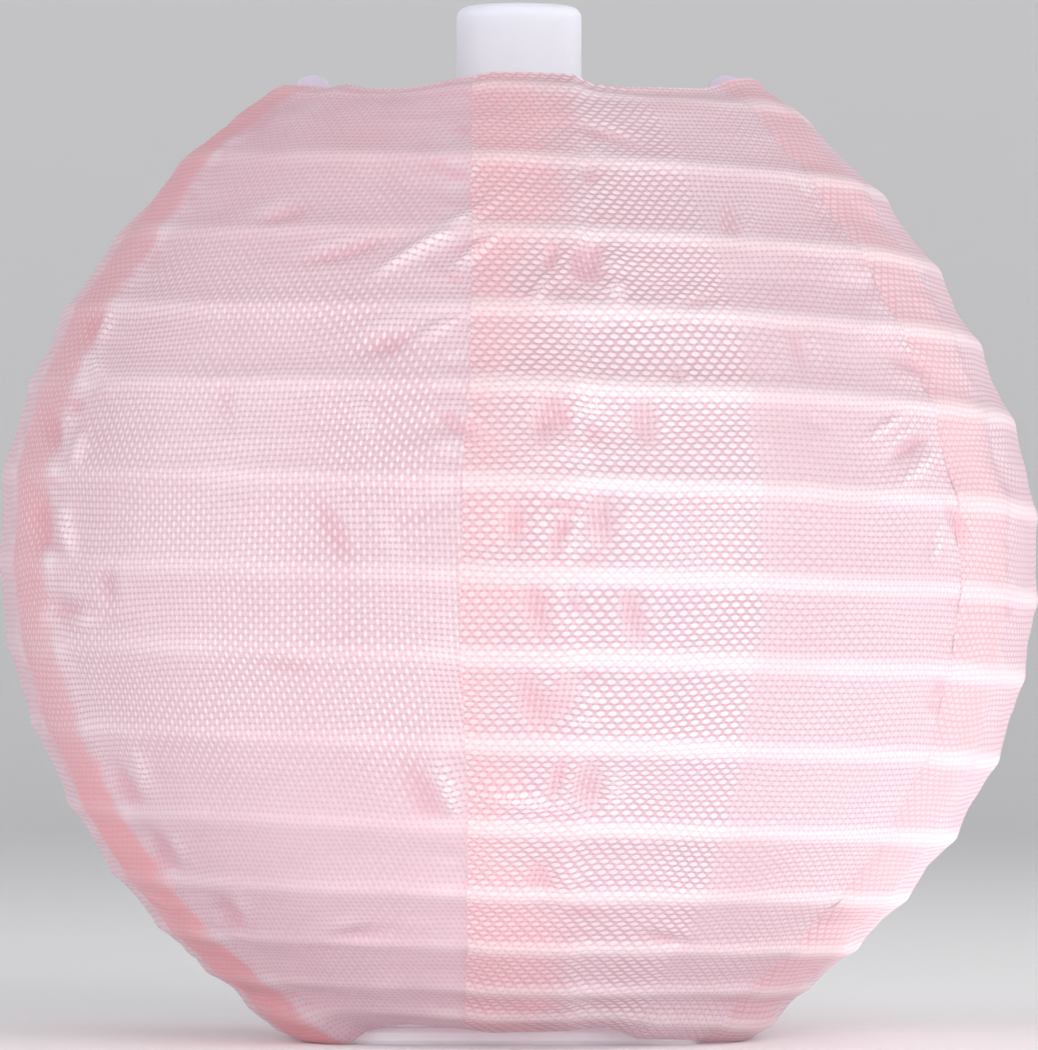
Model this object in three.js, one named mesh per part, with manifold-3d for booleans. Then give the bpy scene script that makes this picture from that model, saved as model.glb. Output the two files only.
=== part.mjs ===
// Small round hanging or table lantern: a collapsible fabric shade on a spiral wire, held open by a
// moulded stretcher frame, with a button-cell light capsule in the frame's collar.
// Millimetres, +Z up, origin on the axis at the underside of the foot plate. The front is -Y.
import * as THREE from "three";
import { mergeVertices } from "three/addons/utils/BufferGeometryUtils.js";
import Module from "manifold-3d";

const wasm = await Module();
wasm.setup();

// ---- driving dimensions -------------------------------------------------------------------
const FABRIC_T = 0.3; // shade cloth, modelled thick
const LAP = 7.3; // width of each glued lap seam
const LAP_LIFT = 0.45; // how far the upper layer of a lap stands off
const WIRE_R = 0.4; // spiral and ring wire
const WIRE_IN = 1.0; // wire centre below the cloth's outer face
const TOP_RING = { r: 17.05, z: 68.9 };
const BOTTOM_RING = { r: 15.1, z: 1.85 };
const SEAM_DEG = [-72.5, -5.4, 57.3, 115.0, 172.7, 230.3]; // left edge of each panel, from the front towards +X

// outer face of the shade, bottom to top: radius, height
const SHADE = [
  [16.2, 1.5], [17.6, 1.85], [19.2, 2.6], [21.3, 3.95], [23.8, 5.9], [26.1, 8.1], [28.2, 10.3],
  [30.0, 12.5], [31.6, 14.7], [32.9, 16.9], [34.1, 19.1], [35.1, 21.3], [35.9, 23.5], [36.6, 25.7],
  [37.2, 27.9], [37.6, 30.1], [37.87, 32.3], [38.0, 34.5], [38.0, 36.7], [37.85, 38.9], [37.55, 41.1],
  [37.1, 43.3], [36.4, 45.5], [35.5, 47.7], [34.6, 49.9], [33.5, 52.1], [32.3, 54.3], [30.9, 56.5],
  [29.3, 58.7], [27.6, 60.9], [25.7, 63.1], [23.7, 65.1], [21.7, 66.8], [19.7, 68.4], [17.85, 69.7],
];
// height of the cloth over the spiral wire at each whole turn, counted from the top at the front
const TURN_Z = [68.6, 62.9, 57.5, 52.0, 46.6, 39.9, 33.5, 27.8, 21.8, 16.0, 11.3, 7.5, 4.4, 2.5];

const FOOT = { x: 14.2, y: 11.0, corner: 5.0, t: 1.2, holeR: 7.5, socketH: 3.0, socketWall: 1.0 };
const LEG = { xIn: 11.1, xOut: 13.1, w: 3.2, tipIn: 13.85, tipOut: 16.45, tipTop: 70.75, footZ: 0.8, bendZ: 57.0, flareZ: 62.7 };
const SHOULDER = { x: 17.6, z0: 67.1, z1: 68.25 };
const BRIDGE = { z0: 56.65, z1: 59.65, armW: 4.2, collarR: 6.6, boreR: 4.5, prongOut: 12.6, prongT: 1.0 };
const PLUG = { r: 4.3, z0: 54.55, flangeR: 5.5, flangeZ0: 59.8, flangeZ1: 60.55, spigotR: 3.88, spigotZ: 63.95, boreR: 2.0 };
const SEAL = { r: 4.3, wire: 0.33, z: 61.05 };
const SLEEVE = { r: 4.6, boreR: 4.1, z0: 61.6, z1: 75.85, top: 0.9, round: 0.85 };
const CELL = { r: 3.4, h: 2.6, z0: 64.85, gap: 0.1 };
const LED = { r: 2.5, rimR: 2.9, zTop: 54.25, rimH: 1.0, len: 8.6 };

// ---- materials ------------------------------------------------------------------------------
const mat = (hex, roughness, metalness = 0, extra = {}) =>
  new THREE.MeshStandardMaterial({ color: hex, roughness, metalness, ...extra });
const cloth = mat(0xe9c3cd, 0.55);
const wireMat = mat(0xf3eff2, 0.4);
const frameMat = mat(0xe3dfea, 0.35);
const sleeveMat = mat(0xeeeef5, 0.3);
const steel = mat(0xc9cbcf, 0.25, 1);
const copper = mat(0xd8c9a8, 0.3, 1);
const rubber = mat(0xd9d6dc, 0.7);
const lens = mat(0xfff3d8, 0.12, 0, { transparent: true, opacity: 0.8 });

const lantern = new THREE.Group();
const add = (name, geometry, material, parent = lantern) => {
  const m = new THREE.Mesh(geometry, material);
  m.name = name;
  parent.add(m);
  return m;
};

// ---- helpers ----------------------------------------------------------------------------------
function toSolid(geometry) {
  const g = geometry.clone();
  g.deleteAttribute("normal");
  g.deleteAttribute("uv");
  const merged = mergeVertices(g, 1e-4);
  return new wasm.Manifold(
    new wasm.Mesh({
      numProp: 3,
      vertProperties: new Float32Array(merged.attributes.position.array),
      triVerts: new Uint32Array(merged.index.array),
    }),
  );
}
function toGeometry(solid) {
  const m = solid.getMesh();
  const v = new Float32Array(m.numVert * 3);
  for (let i = 0; i < m.numVert; i++) v.set(m.vertProperties.subarray(i * m.numProp, i * m.numProp + 3), i * 3);
  const g = new THREE.BufferGeometry();
  g.setAttribute("position", new THREE.BufferAttribute(v, 3));
  g.setIndex(new THREE.BufferAttribute(new Uint32Array(m.triVerts), 1));
  return g;
}
// profile points are [radius, height], going round anticlockwise
function lathe(points, segments = 40) {
  return new THREE.LatheGeometry(points.map(([r, z]) => new THREE.Vector2(r, z)), segments).rotateX(Math.PI / 2);
}
function box(x0, x1, y0, y1, z0, z1) {
  return new THREE.BoxGeometry(x1 - x0, y1 - y0, z1 - z0).translate((x0 + x1) / 2, (y0 + y1) / 2, (z0 + z1) / 2);
}
function tube(curve, radius, sides, steps) {
  const s = new THREE.Shape();
  for (let i = 0; i < sides; i++) {
    const a = (i / sides) * Math.PI * 2;
    if (i) s.lineTo(radius * Math.cos(a), radius * Math.sin(a));
    else s.moveTo(radius * Math.cos(a), radius * Math.sin(a));
  }
  s.closePath();
  return new THREE.ExtrudeGeometry(s, { steps, bevelEnabled: false, extrudePath: curve });
}

// ---- the shade's form -------------------------------------------------------------------------
const outline = new THREE.SplineCurve(SHADE.map(([r, z]) => new THREE.Vector2(r, z)));
const LINE = outline.getSpacedPoints(400);
// outer face at a height: radius and outward unit normal in the (radius, height) plane
function faceAt(z) {
  let i = 1;
  while (i < LINE.length - 1 && LINE[i].y < z) i++;
  const a = LINE[i - 1], b = LINE[i], t = (z - a.y) / (b.y - a.y);
  const d = b.clone().sub(a).normalize();
  return { r: a.x + (b.x - a.x) * t, nr: d.y, nz: -d.x };
}
const around = (r, z, phi) => new THREE.Vector3(r * Math.sin(phi), -r * Math.cos(phi), z);

// ---- six cloth panels, each lapped over its left-hand neighbour -----------------------------------
const NU = 10, NV = 16;
const ROWS = outline.getSpacedPoints(NV);
const rad = THREE.MathUtils.degToRad;
function panelColumn(i, k, r) {
  const left = rad(SEAM_DEG[i]);
  const right = rad(i === SEAM_DEG.length - 1 ? SEAM_DEG[0] + 360 : SEAM_DEG[i + 1]);
  const lap = LAP / r, blendW = 1.3 / r;
  if (k <= 2) return [left + (lap * k) / 2, LAP_LIFT];
  if (k === 3) return [left + lap + blendW, 0];
  if (k <= 8) return [left + lap + blendW + ((right - left - lap - blendW) * (k - 3)) / 5, 0];
  return [right + (lap * (k - 8)) / 2, 0];
}
for (let i = 0; i < SEAM_DEG.length; i++) {
  const g = new THREE.BoxGeometry(1, 1, 1, NU, NV, 1);
  const p = g.attributes.position;
  for (let n = 0; n < p.count; n++) {
    const k = Math.round((p.getX(n) + 0.5) * NU), j = Math.round((p.getY(n) + 0.5) * NV);
    const { x: r, y: z } = ROWS[j];
    const f = faceAt(Math.min(Math.max(z, 1.52), 69.65));
    const [phi, lift] = panelColumn(i, k, r);
    const out = lift - (p.getZ(n) < 0 ? FABRIC_T : 0);
    const q = around(r + f.nr * out, z + f.nz * out, phi);
    p.setXYZ(n, q.x, q.y, q.z);
  }
  add("shade_panel_" + (i + 1), g, cloth);
}

// ---- spiral wire and the two closed rings ---------------------------------------------------------
class Spiral extends THREE.Curve {
  getPoint(t, target = new THREE.Vector3()) {
    const n = 0.02 + t * (TURN_Z.length - 1 - 0.04);
    const k = Math.min(Math.floor(n), TURN_Z.length - 2), s = n - k;
    const at = (q) => TURN_Z[Math.min(Math.max(q, 0), TURN_Z.length - 1)];
    // Catmull-Rom through the turn heights
    const p0 = k > 0 ? at(k - 1) : 2 * at(0) - at(1), p1 = at(k), p2 = at(k + 1);
    const p3 = k + 2 < TURN_Z.length ? at(k + 2) : 2 * p2 - p1;
    const z = 0.5 * (2 * p1 + (p2 - p0) * s + (2 * p0 - 5 * p1 + 4 * p2 - p3) * s * s + (3 * p1 - p0 - 3 * p2 + p3) * s * s * s);
    const f = faceAt(z);
    return target.copy(around(f.r - f.nr * WIRE_IN, z - f.nz * WIRE_IN, n * Math.PI * 2));
  }
}
const spiral = new Spiral();
spiral.arcLengthDivisions = 2000;
add("spiral_rib", tube(spiral, WIRE_R, 5, 247), wireMat);
add("top_ring", new THREE.TorusGeometry(TOP_RING.r, WIRE_R, 6, 48).translate(0, 0, TOP_RING.z), wireMat);
add("bottom_ring", new THREE.TorusGeometry(BOTTOM_RING.r, WIRE_R, 6, 48).translate(0, 0, BOTTOM_RING.z), wireMat);

// ---- stretcher frame: foot plate, two legs, bridge with the lamp collar --------------------------------
{
  const { x, y, corner, t, holeR, socketH, socketWall } = FOOT, c = 0.3;
  const slab = (inset, z0, z1) => {
    const s = new THREE.Shape(), X = x - inset, Y = y - inset, r = corner - inset;
    s.moveTo(-X + r, -Y);
    s.lineTo(X - r, -Y);
    s.absarc(X - r, -Y + r, r, -Math.PI / 2, 0);
    s.lineTo(X, Y - r);
    s.absarc(X - r, Y - r, r, 0, Math.PI / 2);
    s.lineTo(-X + r, Y);
    s.absarc(-X + r, Y - r, r, Math.PI / 2, Math.PI);
    s.lineTo(-X, -Y + r);
    s.absarc(-X + r, -Y + r, r, Math.PI, 1.5 * Math.PI);
    return toSolid(new THREE.ExtrudeGeometry(s, { depth: z1 - z0, bevelEnabled: false, steps: 1, curveSegments: 7 }).translate(0, 0, z0));
  };
  const hull = (a, b) => wasm.Manifold.hull([a, b]);
  let foot = hull(slab(c, 0, t), slab(0, c, t - c));
  for (const s of [-1, 1]) {
    const xs = [s * (LEG.xIn - 0.15 - socketWall), s * (LEG.xOut + 0.15 + 0.8)].sort((m, n) => m - n);
    const q = LEG.w / 2 + 0.15 + socketWall;
    foot = foot.add(toSolid(box(xs[0], xs[1], -q, q, t - 0.3, socketH)));
  }
  foot = foot.subtract(toSolid(lathe([[0, -1], [holeR, -1], [holeR, t + 1], [0, t + 1], [0, -1]], 40)));
  for (const s of [-1, 1]) {
    const xs = [s * (LEG.xIn - 0.15), s * (LEG.xOut + 0.15)].sort((m, n) => m - n);
    foot = foot.subtract(toSolid(box(xs[0], xs[1], -LEG.w / 2 - 0.15, LEG.w / 2 + 0.15, LEG.footZ - 0.15, 5)));
  }
  add("foot_plate", toGeometry(foot), frameMat);
}
function legOutline() {
  const { xIn, xOut, tipIn, tipOut, tipTop, footZ, bendZ, flareZ } = LEG, s = new THREE.Shape();
  const rTip = (tipOut - tipIn) / 2, cx = (tipIn + tipOut) / 2;
  s.moveTo(xIn, footZ);
  s.lineTo(xOut, footZ);
  s.lineTo(xOut, bendZ);
  s.lineTo(tipOut, flareZ);
  s.lineTo(tipOut, SHOULDER.z0 - 0.6);
  s.lineTo(SHOULDER.x, SHOULDER.z0 + 0.4);
  s.lineTo(SHOULDER.x, SHOULDER.z1);
  s.lineTo(tipOut, SHOULDER.z1);
  for (let i = 0; i <= 8; i++) {
    const a = (Math.PI * i) / 8;
    s.lineTo(cx + rTip * Math.cos(a), tipTop - rTip * 0.82 + rTip * 0.82 * Math.sin(a));
  }
  s.lineTo(tipIn, flareZ + 0.5);
  s.lineTo(xIn, bendZ + 1.5);
  s.closePath();
  return s;
}
for (const side of [1, -1]) {
  const g = new THREE.ExtrudeGeometry(legOutline(), { depth: LEG.w, bevelEnabled: false, steps: 1 });
  // outline X,Y becomes the frame's X,Z; the depth runs along Y
  g.rotateX(Math.PI / 2).translate(0, LEG.w / 2, 0);
  if (side < 0) g.rotateZ(Math.PI);
  add(side > 0 ? "leg_right" : "leg_left", g, frameMat);
}
{
  const { z0, z1, armW, collarR, boreR, prongOut, prongT } = BRIDGE;
  let b = toSolid(lathe([[0, z0], [collarR - 0.3, z0], [collarR, z0 + 0.3], [collarR, z1 - 0.3], [collarR - 0.3, z1], [0, z1]], 40));
  b = b.add(toSolid(box(-10.75, 10.75, -armW / 2, armW / 2, z0 + 0.5, z1)));
  const g = LEG.w / 2 + 0.2;
  for (const s of [-1, 1]) {
    for (const q of [-1, 1]) {
      const xs = [s * 9.6, s * prongOut].sort((m, n) => m - n);
      const ys = [q * g, q * (g + prongT)].sort((m, n) => m - n);
      b = b.add(toSolid(box(xs[0], xs[1], ys[0], ys[1], z0 + 0.5, z1)));
    }
    const xs = [s * 9.6, s * 10.75].sort((m, n) => m - n);
    b = b.add(toSolid(box(xs[0], xs[1], -g - prongT, g + prongT, z0 + 0.5, z1)));
  }
  b = b.subtract(toSolid(lathe([[0, z0 - 1], [boreR, z0 - 1], [boreR, z1 + 1], [0, z1 + 1]], 40)));
  add("lamp_bridge", toGeometry(b), frameMat);
}

// ---- light capsule ------------------------------------------------------------------------------------
{
  const { r, boreR, z0, z1, top, round } = SLEEVE, pts = [[boreR, z0], [r - 0.15, z0], [r, z0 + 0.15], [r, z1 - round]];
  for (let i = 1; i <= 5; i++) {
    const a = (Math.PI / 2) * (i / 5);
    pts.push([r - round + round * Math.cos(a), z1 - round + round * Math.sin(a)]);
  }
  pts.push([0, z1], [0, z1 - top], [boreR - 0.3, z1 - top], [boreR, z1 - top - 0.3], [boreR, z0]);
  add("lamp_sleeve", lathe(pts, 32), sleeveMat);
}
{
  const { r, z0, flangeR, flangeZ0, flangeZ1, spigotR, spigotZ, boreR } = PLUG;
  add("lamp_plug", lathe([
    [boreR, z0], [r - 0.4, z0], [r, z0 + 0.4], [r, flangeZ0], [flangeR - 0.15, flangeZ0], [flangeR, flangeZ0 + 0.15],
    [flangeR, flangeZ1 - 0.15], [flangeR - 0.15, flangeZ1], [spigotR, flangeZ1], [spigotR, spigotZ - 0.3],
    [spigotR - 0.3, spigotZ], [boreR, spigotZ], [boreR, z0],
  ], 32), sleeveMat);
}
add("seal_ring", new THREE.TorusGeometry(SEAL.r, SEAL.wire, 6, 32).translate(0, 0, SEAL.z), rubber);
for (let i = 0; i < 3; i++) {
  const z = CELL.z0 + i * (CELL.h + CELL.gap), { r, h } = CELL;
  add("button_cell_" + (i + 1), lathe([
    [0, z], [r - 0.75, z], [r - 0.75, z + 0.35], [r - 0.2, z + 0.35], [r, z + 0.55], [r, z + h - 0.2], [r - 0.2, z + h], [0, z + h],
  ], 24), steel);
}
{
  const zA = CELL.z0 + 3 * CELL.h + 2 * CELL.gap + 0.35, zB = SLEEVE.z1 - SLEEVE.top - 0.35;
  class Coil extends THREE.Curve {
    getPoint(t, target = new THREE.Vector3()) {
      const a = t * Math.PI * 2 * 3, r = 2.6 - 1.2 * t;
      return target.set(r * Math.cos(a), r * Math.sin(a), zB - (zB - zA) * t);
    }
  }
  add("contact_spring", tube(new Coil(), 0.22, 6, 42), steel);
}
{
  // strip from the LED's long lead up beside the cells to the spring's seat
  const s = new THREE.Shape();
  s.moveTo(-0.9, 3.64);
  s.lineTo(0.9, 3.64);
  s.lineTo(0.9, 3.86);
  s.lineTo(-0.9, 3.86);
  s.closePath();
  add("side_contact", new THREE.ExtrudeGeometry(s, { depth: 9.6, bevelEnabled: false, steps: 1 }).translate(0, 0, 64.7), copper);
}
{
  const { r, rimR, zTop, rimH, len } = LED, pts = [[0, zTop - len]];
  for (let i = 1; i <= 6; i++) {
    const a = (Math.PI / 2) * (i / 6);
    pts.push([r * Math.sin(a), zTop - len + r - r * Math.cos(a)]);
  }
  pts.push([r, zTop - rimH], [rimR, zTop - rimH], [rimR, zTop], [0, zTop]);
  add("led", lathe(pts, 24), lens);
}
{
  const V = (x, y, z) => new THREE.Vector3(x, y, z);
  const z = LED.zTop;
  add("led_lead_short", tube(new THREE.CatmullRomCurve3([V(-1.27, 0, z + 0.25), V(-1.27, 0, z + 3), V(-1.27, 0, z + 7), V(-1.2, 0, z + 9), V(-0.9, 0, z + 10.2)]), 0.22, 6, 6), steel);
  add("led_lead_long", tube(new THREE.CatmullRomCurve3([V(1.27, 0, z + 0.25), V(1.27, 0, z + 3), V(1.25, 0.1, z + 7), V(1.1, 0.6, z + 9), V(0.7, 1.8, z + 10), V(0.2, 3.3, z + 10.05)], false, "catmullrom", 0.4), 0.2, 6, 12), steel);
}

export default lantern;
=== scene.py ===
import math

import bmesh
import bpy
import numpy as np
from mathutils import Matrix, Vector


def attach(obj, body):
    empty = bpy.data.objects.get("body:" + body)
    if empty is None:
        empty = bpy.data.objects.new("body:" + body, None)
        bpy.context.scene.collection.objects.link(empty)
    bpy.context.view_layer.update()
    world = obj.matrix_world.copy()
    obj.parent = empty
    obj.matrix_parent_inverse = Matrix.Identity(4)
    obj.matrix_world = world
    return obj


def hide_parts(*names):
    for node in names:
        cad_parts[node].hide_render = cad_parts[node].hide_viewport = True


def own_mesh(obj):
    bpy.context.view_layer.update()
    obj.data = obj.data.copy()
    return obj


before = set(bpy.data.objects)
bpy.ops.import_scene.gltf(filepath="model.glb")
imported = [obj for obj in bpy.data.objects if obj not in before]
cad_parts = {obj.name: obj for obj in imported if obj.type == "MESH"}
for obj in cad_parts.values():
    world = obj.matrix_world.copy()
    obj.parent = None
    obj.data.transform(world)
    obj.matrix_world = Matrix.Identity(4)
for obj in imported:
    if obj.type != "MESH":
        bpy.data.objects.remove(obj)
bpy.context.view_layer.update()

MM = 0.001

# ------------------------------------------------------------------ the shade's form, in millimetres
SHADE = np.array([
    [16.2, 1.5], [17.6, 1.85], [19.2, 2.6], [21.3, 3.95], [23.8, 5.9], [26.1, 8.1], [28.2, 10.3],
    [30.0, 12.5], [31.6, 14.7], [32.9, 16.9], [34.1, 19.1], [35.1, 21.3], [35.9, 23.5], [36.6, 25.7],
    [37.2, 27.9], [37.6, 30.1], [37.87, 32.3], [38.0, 34.5], [38.0, 36.7], [37.85, 38.9], [37.55, 41.1],
    [37.1, 43.3], [36.4, 45.5], [35.5, 47.7], [34.6, 49.9], [33.5, 52.1], [32.3, 54.3], [30.9, 56.5],
    [29.3, 58.7], [27.6, 60.9], [25.7, 63.1], [23.7, 65.1], [21.7, 66.8], [19.7, 68.4], [17.85, 69.7],
])
TURN_Z = np.array([68.6, 62.9, 57.5, 52.0, 46.6, 39.9, 33.5, 27.8, 21.8, 16.0, 11.3, 7.5, 4.4, 2.5])
SEAM_DEG = [-72.5, -5.4, 57.3, 115.0, 172.7, 230.3]
LAP = 7.3
PITCH = 0.43  # yarn pitch of the cloth
WIRE_R = 0.42


def catmull(points, n):
    """Points on a Catmull-Rom curve, evenly spaced by length."""
    p = np.vstack([2 * points[0] - points[1], points, 2 * points[-1] - points[-2]])
    out = []
    for i in range(1, len(p) - 2):
        t = np.linspace(0, 1, 24, endpoint=False)[:, None]
        a, b, c, d = p[i - 1], p[i], p[i + 1], p[i + 2]
        out.append(0.5 * (2 * b + (c - a) * t + (2 * a - 5 * b + 4 * c - d) * t ** 2 + (3 * b - a - 3 * c + d) * t ** 3))
    out = np.vstack(out + [points[-1:]])
    for _ in range(3):  # takes out the small steps left by reading off the outline
        out[1:-1] = 0.25 * out[:-2] + 0.5 * out[1:-1] + 0.25 * out[2:]
    s = np.r_[0, np.cumsum(np.hypot(*np.diff(out, axis=0).T))]
    at = np.linspace(0, s[-1], n)
    return np.column_stack([np.interp(at, s, out[:, 0]), np.interp(at, s, out[:, 1])]), s[-1]


LINE, LENGTH = catmull(SHADE, 1601)
ARC = np.linspace(0, LENGTH, len(LINE))
_d = np.gradient(LINE, ARC, axis=0)
_d = np.column_stack([np.convolve(np.pad(_d[:, k], 12, mode="edge"), np.ones(25) / 25, "valid") for k in (0, 1)])
_d /= np.linalg.norm(_d, axis=1)[:, None]
NORMAL = np.column_stack([_d[:, 1], -_d[:, 0]])  # outward, in (radius, height)


def line_at(s):
    return [np.interp(s, ARC, c) for c in (LINE[:, 0], LINE[:, 1], NORMAL[:, 0], NORMAL[:, 1])]


# where along the arc each turn of the wire crosses the front, as a continuous count
_k = np.arange(len(TURN_Z), dtype=float)
_turn = np.column_stack([_k, TURN_Z])
_fine, _ = catmull(_turn, 1400)
_arc_of_turn = np.interp(_fine[:, 1], LINE[:, 1], ARC)
TURN_N = np.r_[-1.0, _fine[:, 0], 14.2]
TURN_S = np.r_[_arc_of_turn[0] + 6.0, _arc_of_turn, _arc_of_turn[-1] - 3.2]


def turns_at(s):
    return np.interp(s, TURN_S[::-1], TURN_N[::-1])


def arc_of(n):
    return np.interp(n, TURN_N, TURN_S)


class Noise:
    """Smooth value noise on a lattice, the same every run."""

    def __init__(self, seed):
        self.t = np.random.RandomState(seed).rand(64, 64)

    def __call__(self, x, y):
        xi, yi = np.floor(x).astype(int), np.floor(y).astype(int)
        fx, fy = x - xi, y - yi
        fx, fy = fx * fx * (3 - 2 * fx), fy * fy * (3 - 2 * fy)
        t = lambda i, j: self.t[i % 64, j % 64]
        return 2 * ((t(xi, yi) * (1 - fx) + t(xi + 1, yi) * fx) * (1 - fy) + (t(xi, yi + 1) * (1 - fx) + t(xi + 1, yi + 1) * fx) * fy) - 1


N1, N2, N3, N4 = Noise(3), Noise(17), Noise(29), Noise(41)

# heights of the two hems round the lantern, azimuth 0 at the front and + towards +X
TOP_HEM = np.array([
    [-180, 69.0], [-150, 69.1], [-120, 69.4], [-95, 69.5], [-80, 69.35], [-72, 69.55], [-64, 69.3], [-50, 69.0], [-44, 69.15], [-38, 68.75], [-29, 68.6],
    [-22, 68.75], [-14, 69.25], [-6, 69.5], [4, 69.45], [12, 69.35], [17, 68.85], [25, 68.65], [48, 68.9], [58, 69.6], [70, 70.0], [78, 69.9],
    [95, 69.6], [120, 69.5], [150, 69.1], [180, 69.0]])
FOOT_HEM = np.array([
    [-180, 1.4], [-150, 1.2], [-125, 0.5], [-110, 0.25], [-90, 0.3], [-75, 0.25], [-60, 0.1], [-53, 0.08], [-48, 0.25], [-42, 1.1], [-36, 1.5], [-29, 1.64], [-20, 1.5],
    [-13, 1.35], [-6, 1.3], [5, 1.38], [14, 1.42], [22, 1.5], [27, 1.1], [31, 0.62], [40, 0.5], [56, 0.3], [70, 0.12], [80, 0.08], [92, 0.2], [110, 0.35],
    [135, 0.9], [160, 1.35], [180, 1.4]])


def table(t, deg):
    deg = (deg + 180) % 360 - 180
    return np.interp(deg, t[:, 0], t[:, 1])


# the shade is a little fuller on one side: (height, half the difference between the left and right radius)
LEAN = np.array([[0, 0.0], [8, 0.0], [15, -0.25], [20, -0.3], [26, -0.1], [32, 0.0], [38, 0.05], [43, 0.3], [49, 0.42], [53, 0.45], [58, 0.25], [64, 0.2], [69, 0.0], [71, 0.0]])

# azimuth of each lap's free edge by height (height, degrees); the three at the back run straight down
SEAM_LINE = [
    [[0, -72.5], [58, -72.5], [62, -75.5], [66, -78], [70, -81]],
    [[1.4, -12.7], [4, -10.3], [7.3, -8.3], [14.5, -6.5], [18, -5.9], [22, -6.0], [29, -6.2], [38.6, -5.9], [47.6, -5.3], [57, -6.1], [63, -7.4], [66, -8.5], [69.5, -10.4]],
    [[1.5, 50.5], [4, 49.6], [8, 51.6], [12.4, 53.8], [17, 54.8], [23, 55.6], [30, 55.4], [38, 55.0], [46, 54.4], [53, 53.4], [59, 52.2], [65, 51.6], [69.5, 54]],
    [[0, 115.0], [71, 115.0]],
    [[0, 172.7], [71, 172.7]],
    [[0, 230.3], [71, 230.3]],
    [[0, 287.5], [58, 287.5], [62, 284.5], [66, 282], [70, 279]],
]


def seam_at(i, z):
    t = np.array(SEAM_LINE[i])
    return np.radians(np.interp(z, t[:, 0], t[:, 1]))


# dents and folds pressed into the front of the cloth: x, height, half-width, half-height, turn in degrees, depth (all mm)
MARKS = [
    (8.7, 44.1, 0.8, 1.8, 8, -0.26), (5.6, 37.2, 0.9, 2, 0, -0.34), (7.8, 30.7, 0.8, 2, 12, -0.3), (3, 25.2, 1.2, 1.8, -20, -0.3),
    (4.8, 18.8, 1, 1.7, 0, -0.34), (1.9, 44.3, 1, 1.9, -14, -0.28), (1.2, 31.1, 0.8, 1.9, 14, -0.26), (0.8, 25, 0.9, 1.9, 20, -0.26),
    (-5.4, 57.3, 4, 0.55, 34, 0.42), (-8.8, 49.5, 2.2, 0.8, 12, -0.34), (-6.3, 50.2, 2.6, 0.5, 28, 0.28), (-4.5, 43.7, 1.6, 0.7, -20, -0.26),
    (-12.8, 36.7, 0.8, 2.2, 30, -0.26), (-6, 37.9, 2.4, 0.6, 18, -0.22), (-6.6, 18, 1, 2.4, 28, -0.3), (-4.9, 18.6, 0.5, 2, 18, 0.28),
    (0.3, 17.9, 3.2, 0.6, -8, 0.32), (1.5, 12.2, 1, 1.6, 10, -0.24), (14.8, 58.4, 0.7, 1.6, 8, -0.2), (27.3, 42.6, 1.6, 0.5, 34, -0.34),
    (28.2, 41.2, 1.6, 0.5, 40, 0.26), (30.7, 37.7, 0.5, 1.7, 24, -0.3), (27.4, 48.8, 1.4, 0.5, -28, -0.25), (-33.3, 44.1, 0.7, 1.5, 20, -0.34),
    (-34, 37.3, 0.9, 1.6, 0, -0.38), (-32.4, 31.4, 1.7, 0.8, -20, -0.36), (-33.8, 31.1, 0.5, 1.5, 0, 0.3), (-30.4, 52.1, 0.6, 1.6, -18, -0.3),
    (-27.8, 18.4, 0.7, 1.8, 28, -0.3), (-25.2, 13.9, 0.7, 1.7, 30, -0.3), (-20.5, 9.5, 0.7, 1.6, 34, -0.3), (1.6, 53.4, 0.5, 1.7, -24, 0.3),
    (6.9, 53, 0.45, 1.4, 14, 0.26), (3.4, 43.3, 0.5, 1.6, 18, -0.26), (2.9, 36.5, 0.5, 1.9, -22, -0.28), (3.7, 32.2, 0.45, 1.5, 20, -0.26),
    (2.6, 19.3, 0.45, 1.6, -16, -0.28), (-7.8, 55.8, 2.6, 0.4, 30, 0.3), (-3, 56.1, 2, 0.4, 40, 0.34), (-10.6, 44.5, 0.5, 1.7, 22, 0.24),
    (-9, 36.4, 0.5, 2, 24, 0.26), (-12, 56.2, 3, 0.5, 14, -0.2), (25.6, 43.9, 1.5, 0.35, 36, 0.3), (29.4, 35.7, 0.4, 1.3, -10, 0.28),
    (23.8, 51.2, 1.2, 0.35, -34, 0.26), (-31.2, 42.6, 0.45, 1.5, -16, 0.34), (-31.9, 36.6, 0.45, 1.6, 10, 0.36), (-30.6, 30.5, 0.9, 0.6, -14, 0.36),
    (-29, 32.8, 0.6, 1.4, 8, -0.24), (-29.6, 48, 0.5, 1.4, 24, 0.34), (-26.6, 20.3, 0.4, 1.5, 26, 0.24), (6.5, 64.7, 2.2, 0.45, -20, -0.18),
    (-3.2, 62.8, 0.4, 1.6, 8, 0.22), (4.6, 62.4, 0.5, 1.4, 16, -0.18), (11.2, 46.8, 0.45, 1.5, 10, -0.18), (20.6, 44.2, 1.2, 0.4, -20, -0.14),
    (12.3, 52.4, 1.8, 0.5, 24, -0.18), (19.5, 49.2, 0.6, 1.7, 16, -0.18), (-17, 58.8, 2.4, 0.6, 22, -0.2), (-20.5, 46.1, 0.6, 2, 14, -0.18),
    (-16.5, 27.2, 2.6, 0.6, -12, -0.2), (18.2, 15.6, 2.2, 0.5, 12, -0.18), (10.6, 7.8, 2, 0.5, -18, -0.2), (-12, 8, 2.4, 0.6, 16, -0.24),
    (4.8, 55.3, 0.95, 1.3, 0, -0.36), (2.2, 55.4, 0.5, 1.2, -10, -0.26), (6.7, 53.4, 1, 0.5, 10, 0.26), (-0.3, 36.9, 0.8, 1.5, 0, -0.24),
    (2.3, 38.3, 0.8, 0.3, 0, -0.24), (7.1, 38, 0.35, 0.6, 0, -0.22),
]


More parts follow.
